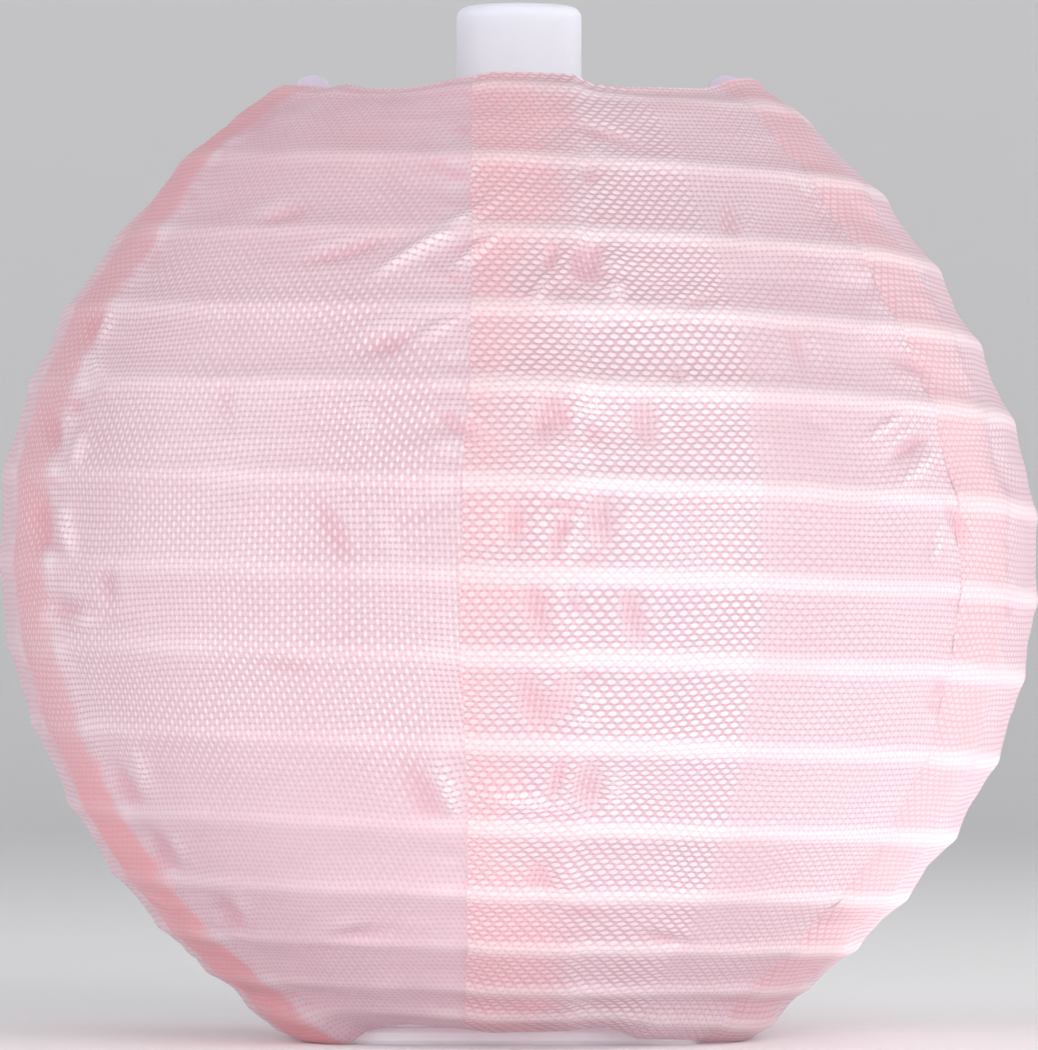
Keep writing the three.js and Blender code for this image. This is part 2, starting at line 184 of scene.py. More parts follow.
def cloth_point(phi, s, lift=0.0, ribs=1.0):
    """A point of the shade's outer face: azimuth in radians, arc length from the lower hem, both arrays; lift stands it off the face."""
    deg = np.degrees(phi)
    r, z, nr, nz = line_at(s)
    low = 1 - np.clip(s / 6.0, 0, 1)
    high = 1 - np.clip((LENGTH - s) / 5.0, 0, 1)
    low, high = low * low * (3 - 2 * low), high * high * (3 - 2 * high)
    z = z + (table(FOOT_HEM, deg) - 1.5) * low + (table(TOP_HEM, deg) - 69.7) * high
    r = r + 0.35 * low * np.clip((1.5 - table(FOOT_HEM, deg)) / 1.4, 0, 1)
    # the wire's phase at this point, and the length to the nearest turn
    n = turns_at(s) - phi / (2 * np.pi)
    k = np.clip(np.round(n), 0, 13)
    local = np.abs(arc_of(turns_at(s) - 0.5) - arc_of(turns_at(s) + 0.5))
    local = np.clip(local, 2.6, 7.5)
    d = (n - k) * local
    t = np.clip((np.sqrt(d * d + 0.22 ** 2) - 0.22) / (local / 2), 0, 1.2)
    vary = 1 + 0.3 * N1(phi * 5.3, s / 6.1)
    vary = vary * (1 - 0.55 * np.exp(-(((deg + 88) / 32) ** 2)))  # drawn tighter on the left
    sag = 0.25 * (local / 5.6) * vary * (1 - (1 - np.clip(t, 0, 1)) ** 2)
    crown = 0.095 * np.exp(-((d / 0.75) ** 2))
    ease = np.clip(s / 2.0, 0, 1) * np.clip((LENGTH - s) / 1.2, 0, 1)
    off = (0.10 - sag + crown) * ribs * ease
    # slack between the turns: soft diagonal drag lines and finer crinkle
    x = phi * np.maximum(r, 12)
    slack = np.clip(np.abs(t), 0, 1)
    off = off + slack * ease * (0.10 * N2(x / 5.2 + s / 9.0, s / 2.6 - x / 14.0) + 0.045 * N3(x / 1.9, s / 1.3 + x / 5.0) + 0.05 * N4(x / 9.0, s / 0.95))
    return r, z, nr, nz, off + lift, d, x


def place(phi, s, lift=0.0, ribs=1.0):
    r, z, nr, nz, off, d, x = cloth_point(phi, s, lift, ribs)
    z0 = np.clip(z, 0, 71)
    r = r + np.interp(z0, LEAN[:, 0], LEAN[:, 1]) * -np.sin(phi)
    R, Z = r + nr * off, z + nz * off
    X, Y = R * np.sin(phi), -R * np.cos(phi)
    extra, painted_relief_light = np.zeros_like(X), np.zeros_like(X)
    for mx, mz, w, h, turn, depth in MARKS:
        a = math.radians(turn)
        dx, dz = X - mx, Z - mz
        u, v = dx * math.cos(a) + dz * math.sin(a), -dx * math.sin(a) + dz * math.cos(a)
        bump = np.exp(-((u / w) ** 2 + (v / h) ** 2) ** 1.4)
        if depth < 0:  # a dent throws up a low lip on its outer side
            side = (1.0 if w < h else 0.0, 0.0 if w < h else 1.0)
            bump = bump - 0.6 * np.exp(-(((u - side[0] * 1.9 * w) / (0.8 * w)) ** 2 + ((v - side[1] * 1.9 * h) / (0.8 * h)) ** 2))
        bump = np.where(Y < 0, bump, 0)
        extra += depth * bump
        # each mark is also painted: shade where it dents the cloth, highlight where it rises
        painted_relief_light += depth / 0.3 * bump
    rib_keep = np.clip(np.abs(d) / 0.8, 0.15, 1)
    extra *= rib_keep
    painted_relief_light *= np.clip((np.abs(d) - 0.35) / 0.6, 0, 1)
    R, Z = R + nr * extra, Z + nz * extra
    Z = np.maximum(Z, 0.06)
    return np.stack([R * np.sin(phi), -R * np.cos(phi), Z], -1), d, painted_relief_light


# ------------------------------------------------------------------ meshes
def mesh_object(name, verts, faces, mat=None, smooth=True):
    m = bpy.data.meshes.new(name)
    m.from_pydata([tuple(v) for v in verts], [], [tuple(int(i) for i in f) for f in faces])
    m.update()
    if smooth:
        m.polygons.foreach_set("use_smooth", np.ones(len(m.polygons), bool))
    o = bpy.data.objects.new(name, m)
    bpy.context.scene.collection.objects.link(o)
    if mat:
        m.materials.append(mat)
    return o


def grid_faces(nu, nv, wrap=False):
    f = []
    for j in range(nv - 1):
        for i in range(nu if wrap else nu - 1):
            a, b = j * nu + i, j * nu + (i + 1) % nu
            f.append((a, b, b + nu, a + nu))
    return f


def lathe(name, profile, segments, mat, closed=False):
    """Turns (radius, height) points in mm about Z; radius 0 makes a pole."""
    verts, rings = [], []
    for r, z in profile:
        if r < 1e-6:
            rings.append([len(verts)])
            verts.append((0, 0, z * MM))
        else:
            rings.append(list(range(len(verts), len(verts) + segments)))
            for i in range(segments):
                a = 2 * math.pi * i / segments
                verts.append((r * math.cos(a) * MM, r * math.sin(a) * MM, z * MM))
    faces = []
    pairs = list(zip(rings, rings[1:])) + ([(rings[-1], rings[0])] if closed else [])
    for a, b in pairs:
        for i in range(segments):
            j = (i + 1) % segments
            if len(a) == 1 and len(b) == 1:
                continue
            if len(a) == 1:
                faces.append((a[0], b[j], b[i]))
            elif len(b) == 1:
                faces.append((a[i], a[j], b[0]))
            else:
                faces.append((a[i], a[j], b[j], b[i]))
    o = mesh_object(name, verts, faces, mat)
    bm = bmesh.new()
    bm.from_mesh(o.data)
    bmesh.ops.recalc_face_normals(bm, faces=bm.faces)
    bm.to_mesh(o.data)
    bm.free()
    return o


def rod(name, path, radius, sides, mat, closed=False, cap=True):
    """A round rod along path (n, 3), in mm, with a frame carried along it."""
    p = np.asarray(path, float)
    n = len(p)
    tangent = (np.roll(p, -1, 0) - np.roll(p, 1, 0)) if closed else np.gradient(p, axis=0)
    tangent /= np.linalg.norm(tangent, axis=1)[:, None]
    side = np.cross(tangent, [0, 0, 1.0])
    weak = np.linalg.norm(side, axis=1) < 1e-4
    side[weak] = [1.0, 0, 0]
    side /= np.linalg.norm(side, axis=1)[:, None]
    up = np.cross(side, tangent)
    a = np.linspace(0, 2 * np.pi, sides, endpoint=False)
    rad = np.broadcast_to(np.asarray(radius, float), (n,))
    v = p[:, None] + rad[:, None, None] * (np.cos(a)[None, :, None] * side[:, None] + np.sin(a)[None, :, None] * up[:, None])
    faces = grid_faces(sides, n, wrap=True)
    if closed:
        faces += [((n - 1) * sides + i, (n - 1) * sides + (i + 1) % sides, (i + 1) % sides, i) for i in range(sides)]
    elif cap:
        faces += [tuple(range(sides))[::-1], tuple(range((n - 1) * sides, n * sides))]
    o = mesh_object(name, v.reshape(-1, 3) * MM, faces, mat)
    bm = bmesh.new()
    bm.from_mesh(o.data)
    bmesh.ops.recalc_face_normals(bm, faces=bm.faces)
    bm.to_mesh(o.data)
    bm.free()
    return o


# ------------------------------------------------------------------ materials
def new_material(name):
    m = bpy.data.materials.new(name)
    m.use_nodes = True
    m.node_tree.nodes.clear()
    return m, m.node_tree


class Graph:
    """Short hands for wiring a node tree."""

    def __init__(self, tree):
        self.t = tree

    def node(self, kind, **values):
        n = self.t.nodes.new(kind)
        for k, v in values.items():
            setattr(n, k, v)
        return n

    def wire(self, value, socket):
        if hasattr(value, "links"):
            self.t.links.new(value, socket)
        else:
            socket.default_value = value

    def math(self, op, a, b=None, c=None, clamp=False):
        n = self.node("ShaderNodeMath", operation=op, use_clamp=clamp)
        self.wire(a, n.inputs[0])
        if b is not None:
            self.wire(b, n.inputs[1])
        if c is not None:
            self.wire(c, n.inputs[2])
        return n.outputs[0]

    def mix(self, fac, a, b, kind="RGBA"):
        n = self.node("ShaderNodeMix", data_type=kind)
        i = {"RGBA": (6, 7, 2), "FLOAT": (2, 3, 0)}[kind]
        self.wire(fac, n.inputs[0])
        self.wire(a, n.inputs[i[0]])
        self.wire(b, n.inputs[i[1]])
        return n.outputs[i[2]]

    def ramp(self, x, lo, hi, a=0.0, b=1.0):
        n = self.node("ShaderNodeMapRange", interpolation_type="SMOOTHSTEP")
        self.wire(x, n.inputs[0])
        for i, v in enumerate((lo, hi, a, b)):
            self.wire(v, n.inputs[1 + i])
        return n.outputs[0]

    def noise(self, vector, scale, detail=2.0, rough=0.5, dims="3D"):
        n = self.node("ShaderNodeTexNoise", noise_dimensions=dims)
        if vector is not None:
            self.t.links.new(vector, n.inputs["Vector"])
        n.inputs["Scale"].default_value = scale
        n.inputs["Detail"].default_value = detail
        n.inputs["Roughness"].default_value = rough
        return n.outputs["Fac"]


def lin(r, g, b, a=1.0):
    f = lambda c: c / 255 / 12.92 if c / 255 <= 0.04045 else ((c / 255 + 0.055) / 1.055) ** 2.4
    return (f(r), f(g), f(b), a)


def cloth_material():
    mat, tree = new_material("sheer_woven_nylon")
    g = Graph(tree)
    uv = g.node("ShaderNodeUVMap", uv_map="yarns")
    sep = g.node("ShaderNodeSeparateXYZ")
    tree.links.new(uv.outputs[0], sep.inputs[0])
    U = g.math("MULTIPLY", sep.outputs[0], 16.0)  # the UVs count yarns in sixteens
    V = g.math("MULTIPLY", sep.outputs[1], 16.0)
    fu, fv = g.math("FRACT", U), g.math("FRACT", V)
    iu, iv = g.math("FLOOR", U), g.math("FLOOR", V)
    su, sv = g.math("SINE", g.math("MULTIPLY", fu, math.pi)), g.math("SINE", g.math("MULTIPLY", fv, math.pi))
    # each yarn shows as a row of long crowns where it passes over, half a step apart from row to row
    swing_u = g.math("COSINE", g.math("MULTIPLY", g.math("ADD", g.math("SUBTRACT", U, 0.5), iv), math.pi))  # +1 at a warp crown, -1 at a weft crown
    swing_v = g.math("COSINE", g.math("MULTIPLY", g.math("ADD", g.math("SUBTRACT", V, 0.5), iu), math.pi))
    weft_up = g.math("MULTIPLY_ADD", swing_u, -0.5, 0.5)
    warp_up = g.math("MULTIPLY_ADD", swing_v, 0.5, 0.5)
    weft = g.math("MULTIPLY", g.math("POWER", sv, 0.75), g.math("POWER", weft_up, 0.55))
    warp = g.math("MULTIPLY", g.math("POWER", su, 1.1), g.math("MULTIPLY", g.math("POWER", warp_up, 0.8), 0.82))
    height = g.math("MAXIMUM", warp, weft)
    is_weft = g.ramp(g.math("SUBTRACT", weft, warp), -0.12, 0.12)
    gap = g.ramp(g.math("MAXIMUM", su, sv), 0.78, 0.45)  # the small windows between four yarns
    bump = g.node("ShaderNodeBump")
    bump.inputs["Strength"].default_value = 0.7
    bump.inputs["Distance"].default_value = 0.00005
    plain = g.node("ShaderNodeAttribute", attribute_name="plain").outputs["Fac"]  # 1 where the weave's relief, its painted shade and its painted glints are faded
    relief = g.math("MULTIPLY_ADD", plain, -0.6, 1.0)
    tree.links.new(g.math("MULTIPLY", height, relief), bump.inputs["Height"])
    # colours
    lap = g.node("ShaderNodeAttribute", attribute_name="lap").outputs["Fac"]
    rib = g.node("ShaderNodeAttribute", attribute_name="rib").outputs["Fac"]  # mm to the wire
    coord = g.node("ShaderNodeTexCoord").outputs["Object"]
    blotch = g.noise(coord, 90.0, 3.0)
    thread = g.noise(uv.outputs[0], 9.0, 1.0)
    weft_glint = g.node("ShaderNodeAttribute", attribute_name="weft_glint").outputs["Fac"]  # painted highlight: 1 where the yarns running across carry the glint, 0 where the yarns running up and down do
    mauve, rose, coral, pale = lin(219, 188, 200), lin(229, 200, 209), lin(246, 176, 182), lin(255, 246, 248)
    # painted shade in the weave's low points, a deeper mauve where the weft glints
    base = g.mix(g.mix(g.math("MULTIPLY", plain, 0.7), g.ramp(height, 0.1, 0.6), 0.7, "FLOAT"), g.mix(weft_glint, lin(224, 195, 206), mauve), rose)
    shows = g.math("MULTIPLY_ADD", plain, -0.85, 1.0)
    # masks for painted glints: dots on the warp crowns and dashes along the weft, faded where the weave is plain
    dot = g.math("MULTIPLY", g.ramp(g.math("MULTIPLY", g.math("POWER", su, 2.0), g.math("POWER", warp_up, 1.4)), 0.22, 0.70), shows)
    dash = g.math("MULTIPLY", g.ramp(weft, 0.34, 0.72), shows)
    # painted highlight: a pale wash over the cloth where the weft glints
    base = g.mix(g.math("MULTIPLY", weft_glint, 0.10), base, pale)
    # painted shade between the glinting weft crowns, less over the lap
    base = g.mix(g.math("MULTIPLY", g.math("SUBTRACT", 1.0, g.ramp(weft, 0.10, 0.55)), g.math("MULTIPLY", g.math("MULTIPLY", weft_glint, relief), g.math("MULTIPLY_ADD", lap, -0.50, 0.60, clamp=True))), base, lin(205, 160, 177))
    # painted glints: warp dots where the weft does not glint, weft dashes where it does
    base = g.mix(g.math("MULTIPLY", dot, g.math("MULTIPLY_ADD", weft_glint, -0.80, 0.82)), base, pale)
    base = g.mix(g.math("MULTIPLY", dash, g.math("MULTIPLY_ADD", weft_glint, 0.78, 0.0)), base, pale)
    base = g.mix(g.math("MULTIPLY", g.ramp(blotch, 0.35, 0.75), 0.22), base, mauve)
    base = g.mix(g.math("MULTIPLY", g.ramp(thread, 0.45, 0.8), 0.10), base, pale)
    painted_relief_light = g.node("ShaderNodeAttribute", attribute_name="painted_relief_light").outputs["Fac"]  # painted shade in a dent (-), painted highlight along a fold (+)
    crown = g.math("MAXIMUM", g.math("MULTIPLY", dash, weft_glint), dot)
    # painted shade in the dents, painted highlight along the folds; the shade is weaker and the highlight stronger on
    # the glinting crowns
    base = g.mix(g.math("MULTIPLY", g.ramp(painted_relief_light, 0.0, -1.3, 0.0, 0.54), g.math("MULTIPLY_ADD", crown, -0.35, 1.0)), base, lin(222, 167, 182))
    base = g.mix(g.math("MULTIPLY", g.ramp(painted_relief_light, 0.0, 1.3, 0.0, 0.62), g.math("MULTIPLY_ADD", crown, 0.7, 0.3)), base, pale)
    base = g.mix(g.math("MULTIPLY", lap, g.math("MULTIPLY_ADD", crown, -0.40, 0.56)), base, coral)
    # the white wire showing through the cloth, with a painted highlight on the ribs where the weft glints
    rib_glint_and_wire = g.ramp(rib, 1.15, 0.25)
    base = g.mix(g.math("MULTIPLY", rib_glint_and_wire, g.math("MULTIPLY_ADD", weft_glint, 0.48, 0.05)), base, pale)
    gloss = g.node("ShaderNodeBsdfPrincipled")
    tree.links.new(base, gloss.inputs["Base Color"])
    g.wire(g.mix(g.ramp(height, 0.3, 0.9), 0.5, 0.36, "FLOAT"), gloss.inputs["Roughness"])
    gloss.inputs["Specular IOR Level"].default_value = 1.0
    gloss.inputs["IOR"].default_value = 1.56
    # filaments throw their highlight across themselves: the weft's up and down, the warp's sideways
    along = g.node("ShaderNodeTangent", direction_type="UV_MAP", uv_map="yarns")
    tree.links.new(along.outputs[0], gloss.inputs["Tangent"])
    gloss.inputs["Anisotropic"].default_value = 0.85
    g.wire(g.math("MULTIPLY", is_weft, 0.25), gloss.inputs["Anisotropic Rotation"])
    gloss.inputs["Sheen Weight"].default_value = 0.12
    gloss.inputs["Sheen Roughness"].default_value = 0.35
    gloss.inputs["Sheen Tint"].default_value = lin(255, 232, 238)
    tree.links.new(bump.outputs[0], gloss.inputs["Normal"])
    through = g.node("ShaderNodeBsdfTranslucent")
    tree.links.new(base, through.inputs["Color"])
    tree.links.new(bump.outputs[0], through.inputs["Normal"])
    body = g.node("ShaderNodeMixShader")
    body.inputs[0].default_value = 0.36
    tree.links.new(gloss.outputs[0], body.inputs[1])
    tree.links.new(through.outputs[0], body.inputs[2])
    clear = g.node("ShaderNodeBsdfTransparent")
    final = g.node("ShaderNodeMixShader")
    seen = g.math("SUBTRACT", 0.98, g.math("MULTIPLY", gap, 0.12), clamp=True)
    tree.links.new(seen, final.inputs[0])
    tree.links.new(clear.outputs[0], final.inputs[1])
    tree.links.new(body.outputs[0], final.inputs[2])
    out = g.node("ShaderNodeOutputMaterial")
    tree.links.new(final.outputs[0], out.inputs[0])
    mat.diffuse_color = (0.86, 0.64, 0.70, 1)
    return mat


def plastic(name, colour, rough=0.35, sss=0.0, radius=(1.5, 1.3, 1.4), grain=1400.0, bump=0.08, coat=0.0, mottled=0.05, spec=0.5):
    mat, tree = new_material(name)
    g = Graph(tree)
    coord = g.node("ShaderNodeTexCoord").outputs["Object"]
    p = g.node("ShaderNodeBsdfPrincipled")
    cloud = g.noise(coord, 160.0, 3.0)
    dark = tuple(c * (1 - mottled * 2) for c in colour[:3]) + (1,)
    light = tuple(min(1, c * (1 + mottled)) for c in colour[:3]) + (1,)
    tree.links.new(g.mix(cloud, dark, light), p.inputs["Base Color"])
    fine = g.noise(coord, grain, 2.0)
    g.wire(g.math("MULTIPLY_ADD", cloud, 0.12, rough - 0.06), p.inputs["Roughness"])
    p.inputs["Specular IOR Level"].default_value = spec
    p.inputs["Subsurface Weight"].default_value = sss
    p.inputs["Subsurface Radius"].default_value = radius
    p.inputs["Subsurface Scale"].default_value = 0.001
    p.inputs["Coat Weight"].default_value = coat
    b = g.node("ShaderNodeBump")
    b.inputs["Strength"].default_value = bump
    b.inputs["Distance"].default_value = 0.0001
    tree.links.new(fine, b.inputs["Height"])
    tree.links.new(b.outputs[0], p.inputs["Normal"])
    out = g.node("ShaderNodeOutputMaterial")
    tree.links.new(p.outputs[0], out.inputs[0])
    mat.diffuse_color = colour
    return mat


def metal(name, colour, rough=0.28, streak=1.0):
    mat, tree = new_material(name)
    g = Graph(tree)
    coord = g.node("ShaderNodeTexCoord").outputs["Object"]
    mapping = g.node("ShaderNodeMapping")
    tree.links.new(coord, mapping.inputs[0])
    mapping.inputs["Scale"].default_value = (1, 1, 30 * streak)
    p = g.node("ShaderNodeBsdfPrincipled")
    p.inputs["Metallic"].default_value = 1
    s = g.noise(mapping.outputs[0], 500.0, 3.0)
    tree.links.new(g.mix(s, tuple(c * 0.82 for c in colour[:3]) + (1,), colour), p.inputs["Base Color"])
    g.wire(g.math("MULTIPLY_ADD", s, 0.2, rough - 0.1), p.inputs["Roughness"])
    out = g.node("ShaderNodeOutputMaterial")
    tree.links.new(p.outputs[0], out.inputs[0])
    mat.diffuse_color = colour
    return mat


CLOTH = cloth_material()
WIRE = plastic("white_coated_wire", lin(247, 240, 243), rough=0.38, mottled=0.02, coat=0.2)
# the frame and the foot plate are one lavender-white moulded plastic: the frame's copy carries painted shade, the
# foot's copy painted light
SHADED_FRAME_PLASTIC = plastic("moulded_plastic_shaded_copy", lin(188, 182, 198), rough=0.42, sss=0.15, mottled=0.03)
LIT_FOOT_PLASTIC = plastic("moulded_plastic_lit_copy", lin(252, 248, 255), rough=0.42, sss=0.25, mottled=0.03)
MILKY = plastic("milky_capsule_plastic", lin(214, 216, 230), rough=0.56, sss=0.55, radius=(2.2, 2.2, 2.6), mottled=0.006, coat=0.0, bump=0.02, spec=0.35)
RUBBER = plastic("seal_rubber_grey", lin(190, 184, 194), rough=0.7, mottled=0.06)
STEEL = metal("plated_steel", (0.72, 0.72, 0.74, 1))
BRASS = metal("brass_strip", (0.80, 0.64, 0.34, 1))
EPOXY, _t = new_material("led_epoxy")
_g = Graph(_t)
_p = _g.node("ShaderNodeBsdfPrincipled")
_p.inputs["Base Color"].default_value = lin(255, 246, 224)
_p.inputs["Transmission Weight"].default_value = 0.85
_p.inputs["Roughness"].default_value = 0.06
_p.inputs["IOR"].default_value = 1.5
_h = _g.node("ShaderNodeBump")
_h.inputs["Strength"].default_value = 0.05
_h.inputs["Distance"].default_value = 0.0001
_t.links.new(_g.noise(_g.node("ShaderNodeTexCoord").outputs["Object"], 900.0), _h.inputs["Height"])
_t.links.new(_h.outputs[0], _p.inputs["Normal"])
_t.links.new(_p.outputs[0], _g.node("ShaderNodeOutputMaterial").inputs[0])

# ------------------------------------------------------------------ the six cloth panels
NU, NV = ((110, 320))
panels = []
for i, left_deg in enumerate(SEAM_DEG):
    S = np.linspace(0, LENGTH, NV)
    rr, zz = line_at(S)[:2]
    left, right = seam_at(i, zz), seam_at(i + 1, zz)
    lap = LAP / rr
    share = np.linspace(0, 1, NU)
    # columns: equal steps from the left edge to the far side of the lap under the next panel
    ls = 0.10 * N1(S / 3.1 + 11 * i, S * 0 + 3.7) + 0.05 * N2(S / 1.1, S * 0 + 7.1 + i)  # the cut edge wanders a little
    start, end = left + ls / rr, right + lap + 0.15 * N3(S / 2.0, S * 0 + i) / rr
    PHI = start[:, None] + (end - start)[:, None] * share[None, :]
    SS = np.broadcast_to(S[:, None], PHI.shape)
    left, right = left[:, None], right[:, None]
    over_lap = np.clip((PHI - left) * rr[:, None] / LAP, 0, None)
    free = np.clip(over_lap / 0.22, 0, 1)
    lift = (0.015 + 0.155 * free * free * (3 - 2 * free)) * (1 - np.clip((over_lap - 1.0) / 0.16, 0, 1)) + 0.03
    under = np.clip((PHI - right) * rr[:, None] / 0.6, 0, 1)
    lift = lift - 0.03 * under
    # the glued lap puckers the cloth beside it
    near = np.exp(-(((over_lap - 1.0) * LAP) / 3.4) ** 2) * (over_lap > 0.55) + 0.7 * np.exp(-(((PHI - right) * rr[:, None] + 1.5) / 3.0) ** 2) * (PHI < right)
    lift = lift + near * 0.16 * N4(SS / 1.5 + 5 * i, (PHI - left) * rr[:, None] / 5.0) * np.clip(SS / 4, 0, 1) * np.clip((LENGTH - SS) / 4, 0, 1)
    P, D, RELIEF_LIGHT = place(PHI, SS, lift)
    o = mesh_object("cloth_panel_%d" % (i + 1), P.reshape(-1, 3) * MM, grid_faces(NU, NV), CLOTH)
    me = o.data
    mid = math.radians(0.5 * (left_deg + (SEAM_DEG[i + 1] if i < 5 else SEAM_DEG[0] + 360)))
    flat_u = (PHI - mid) * rr[:, None]
    flat_v = SS
    # the yarns wander a little, and are dragged where the lap was glued
    flat_u = flat_u + 0.30 * N2(flat_u / 9.0 + 3 * i, SS / 7.0) + 0.10 * N3(flat_u / 2.6, SS / 4.1 + 2 * i)
    flat_v = flat_v + 0.34 * N4(flat_u / 8.0, SS / 6.0 + 5 * i) + 0.10 * N1(flat_u / 3.7 + i, SS / 2.2)
    uv = me.uv_layers.new(name="yarns")
    loops = np.empty(len(me.loops), np.int32)
    me.loops.foreach_get("vertex_index", loops)
    coords = np.column_stack([flat_u.ravel(), flat_v.ravel()]) / PITCH / 16.0
    uv.data.foreach_set("uv", coords[loops].ravel().astype(np.float32))
    # the lap: two layers of cloth and the glue, which soaks out a little unevenly past both edges
    wet = 0.06 * N2(SS / 1.9, PHI * 14 + i) + 0.05 * N1(SS / 0.8 + i, PHI * 25)
    band = np.clip((0.97 + wet * (3.0 if i == 1 else 1.0) - over_lap) / (0.30 if i == 1 else 0.14) + 0.5, 0, 1) * np.clip((over_lap + 0.10 + wet) / 0.12, 0, 1)
    height_mm = line_at(SS)[1]
    if i == 1:  # painted highlight: the far half of the front lap is faded out at mid-height, where the key light's highlight washes it; the band is weaker there too
        reach = 0.34 + 0.50 * np.clip((np.abs(height_mm - 34) - 14) / 16, 0, 1) + 0.26 * N2(SS / 2.6, SS * 0 + 1.3) + 0.12 * N1(SS / 0.9, PHI * 20)
        band = band * (1 - 0.93 * np.clip((over_lap - reach) / 0.34 + 0.5, 0, 1))
        band = band * (0.75 + 0.35 * np.clip((np.abs(height_mm - 34) - 14) / 12, 0, 1))
    if i == 0:  # painted shade: the left lap is drawn deeper low down and near the top, outside the left light's highlight
        band = band * (0.9 + 0.7 * np.clip((26 - height_mm) / 10, 0, 1) + 0.4 * np.clip((height_mm - 58) / 6, 0, 1))
    if i >= 2:
        band = band * 0.52
    band = np.maximum(band, 0.5 * (PHI > right)) * (0.84 + 0.16 * N3(PHI * 30, SS / 2.1))
    # which yarns carry the painted highlight, set per panel: those running across (1) or those running up and down (0)
    weft_glint = np.full(D.shape, (0.12, 1.0, 0.95, 0.3, 0.8, 0.25)[i]) + 0.16 * N1(PHI * 9, SS / 5.0)
    # painted highlight edge: on the front right panel the weft glint drops past 25.5 degrees, where the key light's
    # reflection ends, and towards the top
    if i == 1:
        weft_glint = weft_glint - 0.34 * np.clip((PHI - math.radians(25.5) - 0.012 * N2(SS / 2.0, SS * 0)) / 0.02, 0, 1)
        weft_glint = weft_glint - 0.12 * np.clip((height_mm - 50) / 12, 0, 1)
    # painted shade takes the glint out of the dents; painted highlight adds it along the folds
    weft_glint = np.clip(weft_glint - 0.85 * np.clip(-RELIEF_LIGHT, 0, 1) + 0.5 * np.clip(RELIEF_LIGHT, 0, 1), 0, 1)
    patch = 0.5 * N4(PHI * 6.0 + i, SS / 6.5) + 0.35 * N3(PHI * 15.0, SS / 3.0 + PHI * 6)  # soft sheen and dullness
    painted_relief_light = np.clip(RELIEF_LIGHT, -1.2, 1.2) + 0.45 * patch
    # painted shade: each panel is darkened towards the top
    painted_relief_light = painted_relief_light - (0.55, 0.2, 0.1, 0.1, 0.1, 0.3)[i] * np.clip((height_mm - 48) / 14, 0, 1)
    # painted shade and highlight of fine puckers along both edges of a glued lap; on the left panel the weft glint is
    # raised there too
    along = (PHI - left) * rr[:, None]
    rucks = N1(SS / 0.75 + along / 2.2 + 3 * i, along / 2.4) + 0.6 * N2(SS / 0.4 - along / 1.7, along / 1.1 + i)
    inner = np.exp(-(((over_lap - 1.12) * LAP / 1.5) ** 2)) + 0.8 * np.exp(-((((PHI - right) * rr[:, None] + 1.2) / 1.3) ** 2)) * (PHI < right)
    hems = np.clip(SS / 3, 0, 1) * np.clip((LENGTH - SS) / 5, 0, 1)
    painted_relief_light = painted_relief_light + 1.35 * inner * rucks * hems * np.clip(0.5 + 0.9 * N3(SS / 4.0 + i, SS * 0 + 2.2), 0, 1)
    weft_glint = np.clip(weft_glint + 0.35 * inner * hems * (i == 0), 0, 1)
    # where the weave hardly shows, with flatter relief and fainter painted glints: towards the hems on the left, past
    # the middle of the right-hand panel where the key light's reflection ends, and round the sides
    plain = np.full(D.shape, (0.05, 0.0, 0.62, 0.3, 0.2, 0.5)[i]) + 0.22 * N4(PHI * 7.0 + 2 * i, SS / 7.0)
    if i == 0:
        plain = plain + 0.80 * np.clip((24 - height_mm) / 7, 0, 1) + 0.45 * np.clip((height_mm - 54) / 6, 0, 1)
    if i == 1:
        plain = plain + 0.45 * np.clip((PHI - math.radians(25.5) - 0.012 * N2(SS / 2.0, SS * 0)) / 0.02, 0, 1) * np.clip((62 - height_mm) / 8, 0.3, 1)
    plain = np.clip(plain - 0.6 * np.clip(RELIEF_LIGHT, 0, 1), 0, 1)
    for key, data in (("plain", plain), ("lap", band), ("rib", np.abs(D)), ("weft_glint", weft_glint), ("painted_relief_light", painted_relief_light)):
        a = me.attributes.new(key, "FLOAT", "POINT")
        a.data.foreach_set("value", data.ravel().astype(np.float32))
    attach(o, "frame")
    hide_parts("shade_panel_%d" % (i + 1))
    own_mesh(o)
    panels.append(o)

# ------------------------------------------------------------------ spiral wire and hoops
turns = np.linspace(0.03, 12.97, 13 * (72))
phi = turns * 2 * np.pi
s_of = arc_of(turns)
r, z, nr, nz, off, d, x = cloth_point(phi, s_of)
inset = 0.42 - (WIRE_R + 0.08)
base_r, base_z, bnr, bnz = line_at(s_of)
P, _, _ = place(phi, s_of, -(WIRE_R + 0.10))
spiral = rod("spiral_wire", P, WIRE_R, 10, WIRE)
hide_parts("spiral_rib")
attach(spiral, "frame")
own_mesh(spiral)

a = np.linspace(0, 2 * np.pi, 160, endpoint=False)
hoop = np.stack([17.0 * np.sin(a), -17.0 * np.cos(a), 68.5 - 0.4 * np.cos(2 * a)], -1)
top = rod("top_hoop", hoop, 0.4, 12, WIRE, closed=True)
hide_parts("top_ring")
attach(top, "frame")
hoop = np.stack([15.1 * np.sin(a), -15.1 * np.cos(a), 1.75 + 0.1 * np.cos(2 * a)], -1)
low = rod("bottom_hoop", hoop, 0.4, 12, WIRE, closed=True)
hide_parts("bottom_ring")
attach(low, "shade_foot")

